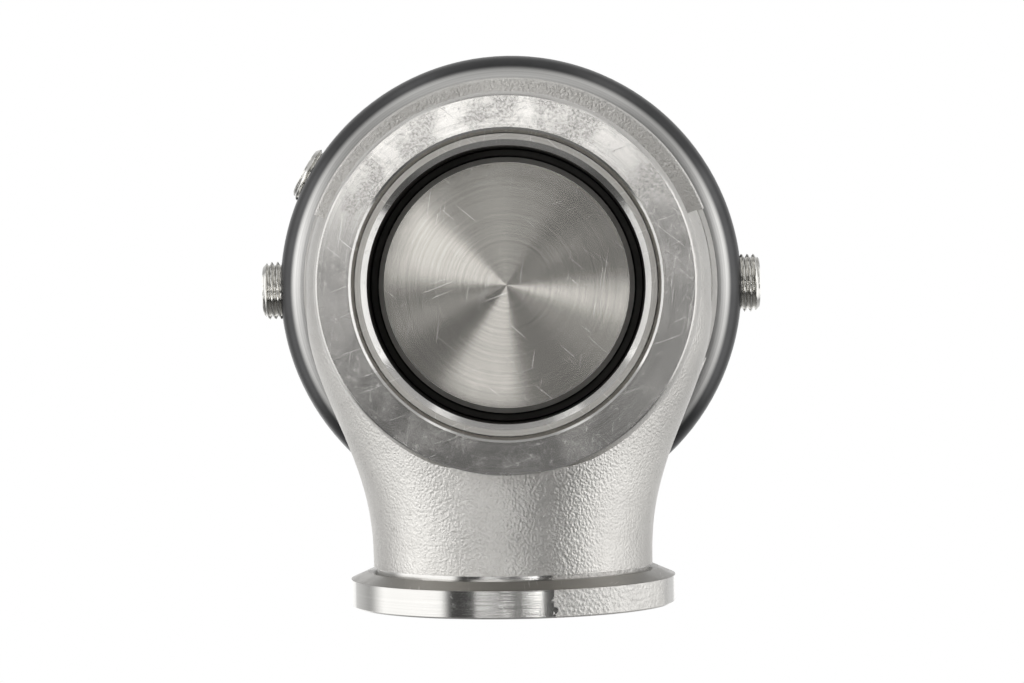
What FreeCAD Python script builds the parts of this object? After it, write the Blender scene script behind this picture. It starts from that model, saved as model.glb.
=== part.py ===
"""External V-band wastegate of the 44 mm class, as an assembly of separate pieces.

Frame: millimetres. The origin is the centre of the inlet flange's face, on the valve's axis.
+Z runs from the inlet to the actuator, and the outlet leaves along -Y.
The body stands on its inlet flange with the round actuator on top.
"""
import FreeCAD, Part
import math
import os

from FreeCAD import Vector

# ---- valve and seat ----
port_r = 21.0  # bore of the seat ring
seat_h = 1.0  # height, and width, of the 45 degree seat
seat_ring_wall = 1.75
seat_ring_top_z = 12.0
seat_ring_recess = 0.3  # the ring's lower face lies this far inside the inlet face
seat_ring_chamfer = 0.85
seat_ring_gap = 0.15  # radial, ring to body
seat_gap = 0.1  # axial, valve to seat when closed
valve_margin = 1.9  # cylindrical edge of the head above the seat
pilot_gap = 1.4  # radial, port to the part of the head that reaches down into it
pilot_drop = 3.5  # from the seat ring's top down to the valve's face
pilot_chamfer = 0.8
crown_r = 9.0  # where the head's back turns up into the stem
crown_rise = 4.5
stem_fillet_rise = 6.5
valve_lift = 10.0  # full opening
stem_r = 4.0
stem_thread_step = 1.0  # radial, stem down to its thread
stem_thread_len = 12.0

# ---- cast body ----
mouth_chamfer = 0.79
inlet_neck_wall = 2.3
inlet_flange_width = 3.45  # radial, flange beyond the neck
inlet_rim = 3.6
flange_edge_bevel = 0.25
vband_slope = 20.0  # degrees, back of the inlet flange
inlet_neck_top_z = 8.5
chamber_room = 3.9  # radial, chamber beyond the seat ring's counterbore
bulb_wall = 3.2
bulb_low_z = 11.5
bulb_round = 5.0
ledge_lip = 0.5  # radial width of the ledge that stops the seat ring
ledge_t = 1.0
chamber_cone = 3.0  # height of the conical floor
chamber_round = 6.0
roof_t = 11.0
top_flange_z = 57.0
top_flange_t = 5.5
top_flange_width = 5.0  # radial, flange beyond the bulb
top_flange_fillet = 1.8
side_relief = 1.1  # slanting cut on the foot of the top flange, over the horn's flanks
side_relief_half_deg = 21.0

# ---- outlet ----
outlet_z = 33.0
outlet_reach = 51.0  # valve axis to outlet face
outlet_bore_r = 19.6
outlet_bore_len = 14.0
neck_wall = 2.85
outlet_flange_width = 3.65  # radial, flange beyond the neck
outlet_rim = 4.3
outlet_cone_step = 0.95  # radial, inner edge of the conical back beyond the neck
outlet_cone_slope = 24.0
undercut_depth = 0.55
undercut_w = 0.7
flank_standout = 2.6  # horn beyond the bulb, beside the valve axis
flare_from_face = 7.0
flare_end = 4.0
flare_power = 1.15
horn_stations = 12

# ---- guide and body joint ----
guide_wall = 2.0
guide_low_z = 43.0
guide_head_width = 2.0
guide_head_t = 1.6
guide_boss_wall = 3.0
guide_boss_drop = 4.0
stem_clearance = 0.04  # running fit, radial
seat_fit = 0.02  # radial, pieces pushed home in one body
gasket_t = 0.6
gasket_in_r = 10.0
gasket_inset = 2.0  # from the top flange's edge
screw_r = 2.5
screw_head_r = 4.25
screw_head_h = 5.0
screw_len = 16.0
screw_socket_af = 4.0
screw_count = 4
washer_r = 4.75
washer_t = 0.8
washer_room = 0.35  # washer to the well's wall
hole_clearance = 0.25
thread_clearance = 0.05
dowel_r = 1.5
dowel_len = 8.0
dowel_inset = 4.0  # from the gasket's edge

# ---- actuator base ----
base_r = 39.5
base_wall = 3.0
base_low_round = 6.0
base_rim_round = 0.8
base_floor_t = 6.4
well_wall = 1.8
gallery_ledge = 5.1  # radial width of the ledge outside the gallery
gallery_floor_t = 6.4
gallery_gap_deg = 36.0  # solid web that carries the boost passage
ledge_rise = 17.4  # base's foot to the gallery ledge
well_wall_rise = 3.0  # inner wall above that ledge
rim_over_ring = 2.3
port_rise = 11.0  # base's foot to the port axes
port_core_r = 4.459  # M10 x 1 core
port_thread_r = 5.0
port_depth = 8.0
spotface_r = 6.2
spotface_depth = 0.9
boost_angle = 30.0  # degrees from +X towards +Y
boost_passage_r = 1.6
side_plug_standout = 3.3
boost_plug_standout = 1.3
plug_chamfer = 0.7
plug_socket_af = 5.0
plug_socket_depth = 3.0
plug_thread_gap = 0.06
plug_end_gap = 0.6  # plug's inner end to the port's bottom

# ---- stem seal ----
seal_r = 8.0
seal_h = 3.3
seal_bed_t = 2.0
seal_clearance = 0.05
retainer_t = 0.7
retainer_width = 3.4
retainer_groove = 0.6
retainer_gap_deg = 40.0

# ---- gallery cover and its seals ----
cover_t = 5.4
cover_inner_t = 3.0
cover_clearance = 0.1
clamp_step = 0.2  # clamp land starts this far outside the cap's bore
o_ring_d = 1.16
o_ring_play = 0.02
face_groove_w = 1.8
bore_groove_rise = 0.8
bore_groove_h = 1.4

# ---- diaphragm stack on the stem ----
stem_shoulder_rise = 19.9  # base's foot to the shoulder under the plate
plate_t = 1.5
plate_step = 1.1  # plate inside the spring cup
plate_room = 2.1  # radial, plate to the well's wall
diaphragm_t = 1.2
roll_width = 6.4  # spring cup to the cap's bore
roll_rise = 5.0  # top of the roll above the diaphragm's flat centre
cup_wall = 1.2
cup_h = 4.0
stack_clearance = 0.1
stem_washer_r = 6.4
stem_washer_t = 1.6
nut_af = 10.0
nut_h = 5.0

# ---- springs: wire radius, turns and the room round each ----
outer_wire_r = 1.6
outer_turns = 3.5
outer_room = 1.8
middle_wire_r = 1.3
middle_turns = 4.5
middle_room = 2.4
inner_wire_r = 1.0
inner_turns = 5.5
inner_room = 2.1
spring_play = 0.05

# ---- cap and retaining ring ----
cap_flange_t = 4.0
cap_flange_width = 3.5  # radial, flange beyond the dome
cap_clearance = 0.1
dome_wall = 3.0
dome_round = 7.0
dome_inner_round = 5.0
spring_block = 15.6  # room left for the springs at full lift
cap_top_t = 3.0
cap_recess_margin = 4.0
cap_recess = 0.6
top_port_rise = 12.4  # cap flange's top to the port axis
top_port_boss_r = 7.0
top_port_standout = 5.5
ring_t = 1.5
ring_room = 0.6  # radial, ring to the dome
ring_groove_depth = 1.5
ring_play = 0.1
ring_gap_deg = 34.0
ring_ear_hole_r = 1.0
ring_ear_deg = 6.0

# ---- radii that follow from the sizes above ----
seat_ring_r = port_r + seat_ring_wall
counterbore_r = seat_ring_r + seat_ring_gap
pilot_r = port_r - pilot_gap
inlet_mouth_r = counterbore_r + mouth_chamfer
inlet_neck_r = counterbore_r + inlet_neck_wall
inlet_flange_r = inlet_neck_r + inlet_flange_width
chamber_r = counterbore_r + chamber_room
bulb_r = chamber_r + bulb_wall
top_flange_r = bulb_r + top_flange_width
horn_half_width = bulb_r + flank_standout
neck_r = outlet_bore_r + neck_wall
outlet_flange_r = neck_r + outlet_flange_width
stem_thread_r = stem_r - stem_thread_step
guide_r = stem_r + guide_wall
guide_head_r = guide_r + guide_head_width
gasket_r = top_flange_r - gasket_inset
dowel_seat_r = gasket_r - dowel_inset
cap_bore_r = base_r - base_wall
dome_r = cap_bore_r - cap_flange_width
dome_bore_r = dome_r - dome_wall
ring_in_r = dome_r + ring_room
cup_r = dome_bore_r - roll_width
plate_r = cup_r - plate_step
well_r = plate_r + plate_room
well_wall_r = well_r + well_wall
gallery_out_r = cap_bore_r - gallery_ledge
face_groove_r = cap_bore_r - gallery_ledge / 2
screw_seat_r = well_r - washer_room - washer_r
clamp_in_r = dome_bore_r + clamp_step
spotface_at = base_r - spotface_depth
outer_coil_r = cup_r - cup_wall - outer_room - outer_wire_r
middle_coil_r = outer_coil_r - outer_wire_r - middle_room - middle_wire_r
inner_coil_r = middle_coil_r - middle_wire_r - inner_room - inner_wire_r

# ---- levels that follow from the sizes above ----
valve_face_z = seat_ring_top_z - pilot_drop
chamber_top_z = top_flange_z - roof_t
base_z = top_flange_z + gasket_t
floor_z = base_z + base_floor_t
port_z = base_z + port_rise
ledge_z = base_z + ledge_rise
clamp_z = ledge_z + cover_t
cap_foot_z = clamp_z + diaphragm_t
cap_flange_z = cap_foot_z + cap_flange_t
rim_z = cap_flange_z + ring_t + ring_play + rim_over_ring
shoulder_z = base_z + stem_shoulder_rise
plate_top_z = shoulder_z + plate_t
cup_foot_z = plate_top_z + diaphragm_t
cup_floor_z = cup_foot_z + cup_wall
ceiling_z = cup_floor_z + spring_block + valve_lift
cap_top_z = ceiling_z + cap_top_t
top_port_z = cap_flange_z + top_port_rise
outlet_face_y = -outlet_reach
flare_start = outlet_reach - flare_from_face
far = 200.0

X = Vector(1, 0, 0)
Y = Vector(0, 1, 0)
Z = Vector(0, 0, 1)
ORIGIN = Vector(0, 0, 0)


def corner_arc(before, corner, after, radius):
    """Start, middle and end of the arc that rounds a corner of a flat outline."""
    to_before = (before - corner).normalize()
    to_after = (after - corner).normalize()
    half = to_before.getAngle(to_after) / 2
    inward = (to_before + to_after).normalize()
    reach = radius / math.tan(half)
    middle = corner + inward * (radius / math.sin(half) - radius)
    return corner + to_before * reach, middle, corner + to_after * reach


def corner_bevel(before, corner, after, size):
    return corner + (before - corner).normalize() * size, corner + (after - corner).normalize() * size


def outline_face(corners, place):
    """Flat face through corners given as (a, b), (a, b, rounding) or (a, b, -bevel).

    place turns a and b into a point in space.
    """
    points = [place(c[0], c[1]) for c in corners]
    edges = []
    stops = []
    for i, corner in enumerate(corners):
        before, after = points[i - 1], points[(i + 1) % len(points)]
        size = corner[2] if len(corner) == 3 else 0
        if size > 0:
            stops.append(corner_arc(before, points[i], after, size))
        elif size < 0:
            start, end = corner_bevel(before, points[i], after, -size)
            stops.append((start, None, start))
            stops.append((end, None, end))
        else:
            stops.append((points[i], None, points[i]))
    for i, (start, middle, end) in enumerate(stops):
        if middle is not None:
            edges.append(Part.Arc(start, middle, end).toShape())
        following = stops[(i + 1) % len(stops)][0]
        if end.distanceToPoint(following) > 1e-6:
            edges.append(Part.makeLine(end, following))
    return Part.Face(Part.Wire(edges))


def turned(corners, degrees=360.0, start=0.0):
    """Solid of revolution about Z from an outline in (radius, z)."""
    face = outline_face(corners, lambda r, z: Vector(r, 0, z))
    solid = face.revolve(ORIGIN, Z, degrees)
    solid.rotate(ORIGIN, Z, start)
    return solid


def turned_about_outlet(corners):
    """Solid of revolution about the outlet's axis from an outline in (radius, y)."""
    face = outline_face(corners, lambda r, y: Vector(r, y, outlet_z))
    return face.revolve(Vector(0, 0, outlet_z), Y, 360)


def ring(inner_r, outer_r, low_z, high_z, degrees=360.0, start=0.0):
    corners = [(inner_r, low_z), (outer_r, low_z), (outer_r, high_z), (inner_r, high_z)]
    return turned(corners, degrees, start)


def post(radius, low_z, high_z, x=0.0, y=0.0):
    return Part.makeCylinder(radius, high_z - low_z, Vector(x, y, low_z), Z)


def radial_post(radius, inner_r, outer_r, z, angle):
    """Cylinder that points out from the Z axis at an angle in degrees from +X."""
    way = Vector(math.cos(math.radians(angle)), math.sin(math.radians(angle)), 0)
    return Part.makeCylinder(radius, outer_r - inner_r, way * inner_r + Z * z, way)


def hexagon(across_flats, low_z, high_z):
    corner_r = across_flats / math.sqrt(3)
    corners = []
    for i in range(7):
        turn = math.radians(60 * i)
        corners.append(Vector(corner_r * math.cos(turn), corner_r * math.sin(turn), low_z))
    return Part.Face(Part.makePolygon(corners)).extrude(Z * (high_z - low_z))


def octagon(across_flats, middle_r, z):
    """Corners in (radius, z) of an eight-sided section, round enough for wire and seals."""
    corner_r = across_flats / 2 / math.cos(math.pi / 8)
    corners = []
    for i in range(8):
        turn = math.pi * (i + 0.5) / 4
        corners.append((middle_r + corner_r * math.cos(turn), z + corner_r * math.sin(turn)))
    return corners


def screw_places():
    for i in range(screw_count):
        turn = 2 * math.pi * (i + 0.5) / screw_count
        yield screw_seat_r * math.cos(turn), screw_seat_r * math.sin(turn)


def smooth_step(t):
    """0 to 1 with a level start and end."""
    t = min(max(t, 0.0), 1.0)
    return (1 - math.cos(math.pi * t)) / 2


# ---- the cast body ----
def horn_width(y):
    """Half the horn's width at y: the round neck widens into the valve chamber's flanks."""
    t = min(max((y + flare_start) / (flare_start - flare_end), 0.0), 1.0)
    return neck_r + (horn_half_width - neck_r) * smooth_step(t ** flare_power)


def duct_size(y):
    """Half width and half height of the outlet duct at y."""
    t = smooth_step((y + outlet_reach - outlet_bore_len) / (outlet_reach - outlet_bore_len))
    half_width = outlet_bore_r + (chamber_r - outlet_bore_r) * t
    half_height = outlet_bore_r + (chamber_top_z - outlet_z - outlet_bore_r) * t
    return half_width, half_height


def oval(half_width, half_height, y):
    if half_width - half_height > 1e-6:
        edge = Part.Ellipse(ORIGIN, half_width, half_height).toShape()
    else:
        edge = Part.Circle(ORIGIN, Z, half_width).toShape()
    edge.rotate(ORIGIN, X, 90)
    edge.translate(Vector(0, y, outlet_z))
    return Part.Wire([edge])


def lofted(first_y, size_at):
    """Solid through ovals from first_y to the valve axis."""
    wires = []
    for i in range(horn_stations + 1):
        y = first_y * (1 - i / horn_stations)
        half_width, half_height = size_at(y)
        wires.append(oval(half_width, half_height, y))
    return Part.makeLoft(wires, True, False)


def flank():
    """The horn's oval section carried round the valve axis, as far as the side relief reaches."""
    top = Vector(0, 0, outlet_z + neck_r)
    low = Vector(0, 0, outlet_z - neck_r)
    ellipse = Part.Ellipse(Vector(horn_half_width, 0, outlet_z), top, Vector(0, 0, outlet_z))
    arc = Part.ArcOfEllipse(ellipse, -math.pi / 2, math.pi / 2).toShape()
    section = Part.Face(Part.Wire([arc, Part.makeLine(top, low)]))
    right = section.revolve(ORIGIN, Z, side_relief_half_deg)
    return right.fuse(right.mirror(ORIGIN, X))


def body_outside():
    column = turned([
        (0, inlet_neck_top_z),
        (inlet_neck_r, inlet_neck_top_z),
        (bulb_r, bulb_low_z, bulb_round),
        (bulb_r, top_flange_z - top_flange_t, top_flange_fillet),
        (top_flange_r, top_flange_z - top_flange_t, 0.5),
        (top_flange_r, top_flange_z),
        (0, top_flange_z),
    ])
    for middle in (0, 180):
        start = middle - side_relief_half_deg
        foot_z = top_flange_z - top_flange_t
        relief = turned([
            (top_flange_r - side_relief, foot_z - 1),
            (top_flange_r + 1, foot_z - 1),
            (top_flange_r + 1, top_flange_z),
            (top_flange_r, top_flange_z),
            (top_flange_r - side_relief, foot_z),
        ], 2 * side_relief_half_deg, start)
        column = column.cut(relief)
    cone_r = neck_r + outlet_cone_step
    undercut_r = neck_r - undercut_depth
    cone = (outlet_flange_r - cone_r) * math.tan(math.radians(outlet_cone_slope))
    step_y = outlet_face_y + outlet_rim + cone
    neck_y = step_y + undercut_w
    flange = turned_about_outlet([
        (0, outlet_face_y),
        (outlet_flange_r, outlet_face_y, -flange_edge_bevel),
        (outlet_flange_r, outlet_face_y + outlet_rim),
        (cone_r, step_y),
        (undercut_r, step_y),
        (undercut_r, neck_y),
        (0, neck_y),
    ])
    horn = lofted(neck_y, lambda y: (horn_width(y), neck_r))
    return column.fuse([horn, flank(), flange])


def body_inside():
    ledge_r = counterbore_r - ledge_lip
    ledge_top = seat_ring_top_z + ledge_t
    chamber = turned([
        (0, inlet_neck_top_z),
        (counterbore_r, inlet_neck_top_z),
        (counterbore_r, seat_ring_top_z),
        (ledge_r, seat_ring_top_z),
        (ledge_r, ledge_top),
        (chamber_r, ledge_top + chamber_cone, 3.0),
        (chamber_r, chamber_top_z, chamber_round),
        (0, chamber_top_z),
    ])
    bore_end = outlet_face_y + outlet_bore_len
    bore = Part.makeCylinder(outlet_bore_r, outlet_bore_len, Vector(0, outlet_face_y, outlet_z), Y)
    return chamber.fuse([bore, lofted(bore_end, duct_size)])


def valve_housing():
    boss_low = chamber_top_z - guide_boss_drop
    boss = turned([
        (0, boss_low),
        (guide_r + guide_boss_wall, boss_low, -1.0),
        (guide_r + guide_boss_wall + 1.5, chamber_top_z + 1),
        (0, chamber_top_z + 1),
    ])
    body = body_outside().cut(body_inside()).fuse(boss)
    cuts = [
        post(guide_r + seat_fit, boss_low - 1, top_flange_z + 1),
        post(guide_head_r + hole_clearance, top_flange_z - guide_head_t, top_flange_z + 1),
        post(dowel_r + seat_fit, top_flange_z - dowel_len / 2, top_flange_z + 1, 0, dowel_seat_r),
    ]
    thread_low = floor_z + washer_t - screw_len - 1
    for x, y in screw_places():
        cuts.append(post(screw_r + thread_clearance, thread_low, top_flange_z + 1, x, y))
    return body.cut(cuts)


def inlet_flange():
    """Turned V-band ring on the foot of the casting. It holds the seat ring's lower part."""
    cone = (inlet_flange_r - inlet_neck_r) * math.tan(math.radians(vband_slope))
    return turned([
        (inlet_mouth_r, 0),
        (inlet_flange_r, 0, -flange_edge_bevel),
        (inlet_flange_r, inlet_rim),
        (inlet_neck_r, inlet_rim + cone),
        (inlet_neck_r, inlet_neck_top_z),
        (counterbore_r, inlet_neck_top_z),
        (counterbore_r, mouth_chamfer),
    ])


def seat_ring():
    low = seat_ring_recess
    return turned([
        (port_r, low + seat_ring_chamfer),
        (port_r + seat_ring_chamfer, low),
        (seat_ring_r, low),
        (seat_ring_r, seat_ring_top_z),
        (port_r + seat_h, seat_ring_top_z),
        (port_r, seat_ring_top_z - seat_h),
    ])


def poppet_valve():
    seat_top = seat_ring_top_z + seat_gap
    head_top = seat_top + valve_margin
    crown_z = head_top + crown_rise
    stem_z = crown_z + stem_fillet_rise
    return turned([
        (0, valve_face_z),
        (pilot_r - pilot_chamfer, valve_face_z),
        (pilot_r, valve_face_z + pilot_chamfer),
        (pilot_r, seat_top - seat_h - 0.3, 0.4),
        (port_r - 0.2, seat_top - seat_h - 0.2),
        (port_r + seat_h, seat_top),
        (port_r + seat_h, head_top, 0.5),
        (crown_r, crown_z, 6.0),
        (stem_r, stem_z, 5.0),
        (stem_r, shoulder_z),
        (stem_thread_r, shoulder_z),
        (stem_thread_r, shoulder_z + stem_thread_len - 0.6),
        (stem_thread_r - 0.6, shoulder_z + stem_thread_len),
        (0, shoulder_z + stem_thread_len),
    ])


def valve_guide():
    inner = stem_r + stem_clearance
    head_z = top_flange_z - guide_head_t
    return turned([
        (inner, guide_low_z),
        (guide_r, guide_low_z, -0.4),
        (guide_r, head_z),
        (guide_head_r, head_z),
        (guide_head_r, top_flange_z),
        (inner, top_flange_z),
    ])


def base_gasket():
    sheet = ring(gasket_in_r, gasket_r, top_flange_z, base_z)
    holes = [post(dowel_r + hole_clearance, 0, far, 0, dowel_seat_r)]
    for x, y in screw_places():
        holes.append(post(screw_r + hole_clearance, 0, far, x, y))
    return sheet.cut(holes)


def locating_dowel():
    low = top_flange_z - dowel_len / 2
    return post(dowel_r, low, low + dowel_len, 0, dowel_seat_r)


def base_screw():
    """One socket head screw at the origin's axis, at its working height."""
    under = floor_z + washer_t
    screw = turned([
        (0, under - screw_len),
        (screw_r, under - screw_len),
        (screw_r, under),
        (screw_head_r, under),
        (screw_head_r, under + screw_head_h, -0.4),
        (0, under + screw_head_h),
    ])
    return screw.cut(hexagon(screw_socket_af, under + screw_head_h / 2, under + screw_head_h + 1))


def at_screws(piece):
    copies = []
    for x, y in screw_places():
        copy = piece.copy()
        copy.translate(Vector(x, y, 0))
        copies.append(copy)
    return Part.makeCompound(copies)


# ---- actuator base ----
def base_turning():
    groove_top = cap_flange_z + ring_t + ring_play
    groove_r = cap_bore_r + ring_groove_depth
    seal_low = base_z + seal_bed_t
    retainer_low = seal_low + seal_h
    return turned([
        (stem_r + hole_clearance, base_z),
        (base_r, base_z, base_low_round),
        (base_r, rim_z, base_rim_round),
        (cap_bore_r, rim_z),
        (cap_bore_r, groove_top),
        (groove_r, groove_top),
        (groove_r, cap_flange_z),
        (cap_bore_r, cap_flange_z),
        (cap_bore_r, ledge_z),
        (well_wall_r, ledge_z),
        (well_wall_r, ledge_z + well_wall_rise),
        (well_r, ledge_z + well_wall_rise),
        (well_r, floor_z),
        (seal_r, floor_z),
        (seal_r, retainer_low + retainer_t + ring_play),
        (seal_r + retainer_groove, retainer_low + retainer_t + ring_play),
        (seal_r + retainer_groove, retainer_low),
        (seal_r, retainer_low),
        (seal_r, seal_low),
        (stem_r + hole_clearance, seal_low),
    ])


def actuator_base():
    base = base_turning()
    web_end = boost_angle + gallery_gap_deg / 2
    gallery = ring(
        well_wall_r, gallery_out_r, base_z + gallery_floor_t, ledge_z + 1, 360 - gallery_gap_deg, web_end)
    # The gallery is cut up to the ledge: above it stands only the inner wall.
    half = face_groove_w / 2
    cuts = [
        gallery,
        ring(face_groove_r - half, face_groove_r + half, ledge_z - o_ring_d - 2 * o_ring_play, ledge_z + 1),
        post(dowel_r + seat_fit, base_z - 1, top_flange_z + dowel_len / 2 + 0.3, 0, dowel_seat_r),
    ]
    for angle in (0, 180):
        cuts.append(radial_post(port_core_r, (well_wall_r + gallery_out_r) / 2, far, port_z, angle))
    cuts.append(radial_post(port_core_r, base_r - port_depth, far, port_z, boost_angle))
    cuts.append(radial_post(boost_passage_r, well_r - 2, base_r, port_z, boost_angle))
    for angle in (0, 180, boost_angle):
        cuts.append(radial_post(spotface_r, spotface_at, far, port_z, angle))
    for x, y in screw_places():
        cuts.append(post(screw_r + hole_clearance, base_z - 1, floor_z + 1, x, y))
    return base.cut(cuts)


def port_plug(angle, standout):
    """Screwed-in port plug with a hexagon socket. It is turned along Z, then laid along its port."""
    inner_end = base_r - port_depth + plug_end_gap
    outer_end = base_r + standout
    core_r = port_core_r - plug_thread_gap
    plug = turned([
        (0, inner_end),
        (core_r - plug_chamfer, inner_end),
        (core_r, inner_end + plug_chamfer),
        (core_r, spotface_at),
        (port_thread_r, spotface_at),
        (port_thread_r, outer_end - plug_chamfer),
        (port_thread_r - plug_chamfer, outer_end),
        (0, outer_end),
    ])
    plug = plug.cut(hexagon(plug_socket_af, outer_end - plug_socket_depth, outer_end + 1))
    plug.rotate(ORIGIN, Y, 90)
    plug.translate(Z * port_z)
    plug.rotate(ORIGIN, Z, angle)
    return plug


def stem_seal():
    low = base_z + seal_bed_t
    inner = stem_r + seal_clearance
    outer = seal_r - seat_fit
    return turned([
        (inner, low),
        (outer, low),
        (outer, low + seal_h),
        (inner + 1.4, low + seal_h),
        (inner + 0.7, low + seal_h - 0.9),
        (inner, low + seal_h),
    ])


def seal_retainer():
    low = base_z + seal_bed_t + seal_h
    outer = seal_r + retainer_groove - seat_fit
    return ring(outer - retainer_width, outer, low, low + retainer_t, 360 - retainer_gap_deg, 90 + retainer_gap_deg / 2)


# ---- gallery cover and seals ----
def jacket_cover():
    inner = well_wall_r + cover_clearance
    outer = cap_bore_r - cover_clearance
    groove_r = well_wall_r + o_ring_d + 2 * o_ring_play
    groove_z = ledge_z + bore_groove_rise
    return turned([
        (inner, ledge_z),
        (outer, ledge_z),
        (outer, clamp_z),
        (clamp_in_r, clamp_z, -0.4),
        (clamp_in_r - 1.2, ledge_z + cover_inner_t),
        (inner, ledge_z + cover_inner_t),
        (inner, groove_z + bore_groove_h),
        (groove_r, groove_z + bore_groove_h),
        (groove_r, groove_z),
        (inner, groove_z),
    ])


def jacket_face_seal():
    return turned(octagon(o_ring_d, face_groove_r, ledge_z - o_ring_d / 2 - o_ring_play))


def jacket_bore_seal():
    middle_z = ledge_z + bore_groove_rise + bore_groove_h / 2
    return turned(octagon(o_ring_d, well_wall_r + o_ring_play + o_ring_d / 2, middle_z))


# ---- diaphragm stack ----
def lower_plate():
    hole = stem_thread_r + stack_clearance
    return turned([
        (hole, shoulder_z),
        (plate_r, shoulder_z, -0.7),
        (plate_r, plate_top_z),
        (hole, plate_top_z),
    ])


def diaphragm():
    """Moulded with a roll that stands between the spring cup and the cap's wall."""
    hole = stem_thread_r + stack_clearance
    inner_leg = cup_r + stack_clearance
    outer_leg = dome_bore_r - stack_clearance
    t = diaphragm_t
    top = cup_foot_z + roll_rise
    outside = (outer_leg - inner_leg) / 2
    inside = outside - t
    return turned([
        (hole, plate_top_z),
        (inner_leg + t, plate_top_z, -t),
        (inner_leg + t, top - t, inside),
        (outer_leg - t, top - t, inside),
        (outer_leg - t, clamp_z),
        (cap_bore_r - cover_clearance, clamp_z),
        (cap_bore_r - cover_clearance, cap_foot_z),
        (outer_leg, cap_foot_z),
        (outer_leg, top, outside),
        (inner_leg, top, outside),
        (inner_leg, cup_foot_z),
        (hole, cup_foot_z),
    ])


def spring_cup():
    hole = stem_thread_r + stack_clearance
    return turned([
        (hole, cup_foot_z),
        (cup_r, cup_foot_z, cup_wall + 0.6),
        (cup_r, cup_foot_z + cup_h),
        (cup_r - cup_wall, cup_foot_z + cup_h),
        (cup_r - cup_wall, cup_floor_z),
        (hole, cup_floor_z),
    ])


def stem_washer():
    return ring(stem_thread_r + stack_clearance, stem_washer_r, cup_floor_z, cup_floor_z + stem_washer_t)


def stem_nut():
    low = cup_floor_z + stem_washer_t
    nut = hexagon(nut_af, low, low + nut_h)
    return nut.cut(post(stem_thread_r + stack_clearance, low - 1, low + nut_h + 1))


def coil_spring(coil_r, wire_r, turns):
    """Round wire wound between the spring cup's floor and the cap's ceiling."""
    low = cup_floor_z + spring_play + wire_r
    rise = ceiling_z - spring_play - wire_r - low
    path = Part.makeHelix(rise / turns, rise, coil_r)
    corners = [Vector(r, 0, z) for r, z in octagon(2 * wire_r, coil_r, 0)]
    section = Part.makePolygon(corners + corners[:1])
    spring = Part.Wire(path.Edges).makePipeShell([section], True, True)
    spring.translate(Z * low)
    return spring


# ---- cap and its retaining ring ----
def top_cap():
    flange_r = cap_bore_r - cap_clearance
    recess_r = dome_r - dome_round - cap_recess_margin
    dome = turned([
        (0, cap_top_z - cap_recess),
        (recess_r, cap_top_z - cap_recess),
        (recess_r, cap_top_z),
        (dome_r, cap_top_z, dome_round),
        (dome_r, cap_flange_z),
        (flange_r, cap_flange_z),
        (flange_r, cap_foot_z),
        (dome_bore_r, cap_foot_z),
        (dome_bore_r, ceiling_z, dome_inner_round),
        (0, ceiling_z),
    ])
    boss = radial_post(top_port_boss_r, dome_bore_r - 1, dome_r + top_port_standout, top_port_z, 90)
    boss = boss.cut(post(dome_bore_r, cap_foot_z, ceiling_z))
    return dome.fuse(boss).cut(radial_post(port_core_r, dome_bore_r / 2, far, top_port_z, 90))


def retaining_ring():
    """Internal snap ring, open towards -Y, with two holes for the pliers."""
    outer = cap_bore_r + ring_groove_depth - cap_clearance
    start = -90 + ring_gap_deg / 2
    snap = ring(ring_in_r, outer, cap_flange_z, cap_flange_z + ring_t, 360 - ring_gap_deg, start)
    holes = []
    for side in (-1, 1):
        turn = math.radians(-90 + side * (ring_gap_deg / 2 + ring_ear_deg))
        middle = (ring_in_r + cap_bore_r) / 2
        x, y = middle * math.cos(turn), middle * math.sin(turn)
        holes.append(post(ring_ear_hole_r, cap_flange_z - 1, cap_flange_z + ring_t + 1, x, y))
    return snap.cut(holes)


def main():
    pieces = {
        "valve_housing": valve_housing(),
        "inlet_flange": inlet_flange(),
        "seat_ring": seat_ring(),
        "poppet_valve": poppet_valve(),
        "valve_guide": valve_guide(),
        "base_gasket": base_gasket(),
        "locating_dowel": locating_dowel(),
        "base_screws": at_screws(base_screw()),
        "screw_washers": at_screws(ring(screw_r + hole_clearance, washer_r, floor_z, floor_z + washer_t)),
        "actuator_base": actuator_base(),
        "stem_seal": stem_seal(),
        "seal_retainer": seal_retainer(),
        "coolant_plug_left": port_plug(0, side_plug_standout),
        "coolant_plug_right": port_plug(180, side_plug_standout),
        "boost_plug": port_plug(boost_angle, boost_plug_standout),
        "jacket_cover": jacket_cover(),
        "jacket_face_seal": jacket_face_seal(),
        "jacket_bore_seal": jacket_bore_seal(),
        "lower_plate": lower_plate(),
        "diaphragm": diaphragm(),
        "spring_cup": spring_cup(),
        "stem_washer": stem_washer(),
        "stem_nut": stem_nut(),
        "outer_spring": coil_spring(outer_coil_r, outer_wire_r, outer_turns),
        "middle_spring": coil_spring(middle_coil_r, middle_wire_r, middle_turns),
        "inner_spring": coil_spring(inner_coil_r, inner_wire_r, inner_turns),
        "top_cap": top_cap(),
        "retaining_ring": retaining_ring(),
    }
    os.makedirs("parts", exist_ok=True)
    for name, shape in pieces.items():
        box = shape.BoundBox
        print(
            f"{name:20s} solids {len(shape.Solids)} valid {shape.isValid()} volume {shape.Volume:10.1f}"
            f"  x {box.XMin:.2f} {box.XMax:.2f}  y {box.YMin:.2f} {box.YMax:.2f}  z {box.ZMin:.2f} {box.ZMax:.2f}")
        shape.exportStep(f"parts/{name}.step")


main()
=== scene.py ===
"""Studio scene of an external turbo wastegate: finishes, threaded port plugs, lamps and camera.

Lengths are in metres. +Z runs along the valve's axis from the inlet to the actuator, and the
outlet points along -Y. The part stands on its inlet flange.
"""

import math

import bmesh
import bpy
from mathutils import Matrix, Vector


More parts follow.
